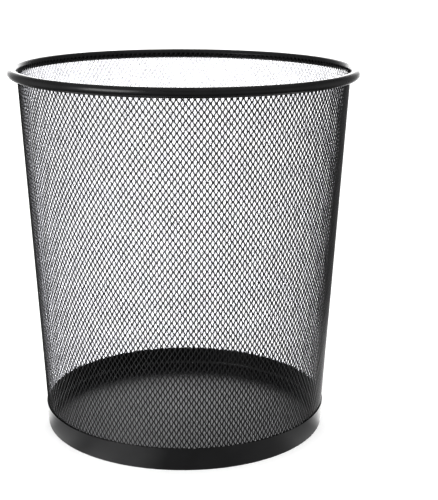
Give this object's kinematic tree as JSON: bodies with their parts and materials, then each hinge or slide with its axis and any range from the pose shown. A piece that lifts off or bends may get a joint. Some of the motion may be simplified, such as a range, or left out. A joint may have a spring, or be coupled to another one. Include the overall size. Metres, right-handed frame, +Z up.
{
  "type": "wastebasket",
  "caption": "Round tapered wastebasket: a cone of fine expanded-steel mesh with a round tube rim at the open mouth and a solid, shallow steel base.",
  "frame": {"origin": "centre of the circle that the basket stands on, at ground level", "axes": "+Z up along the basket's axis; +X towards the sheet's lap seam and the hoop's weld"},
  "size_m": [0.295, 0.295, 0.3125],
  "materials": {
    "rim_coat": "satin black powder coat",
    "mesh_coat": "satin black powder coat",
    "base_coat": "satin black powder coat"
  },
  "bodies": {
    "root": {"rim_tube": "rim_coat", "rim_weld": "rim_coat", "mesh_wall": "mesh_coat", "base_band": "base_coat", "base_pan": "base_coat"}
  },
  "joints": []
}
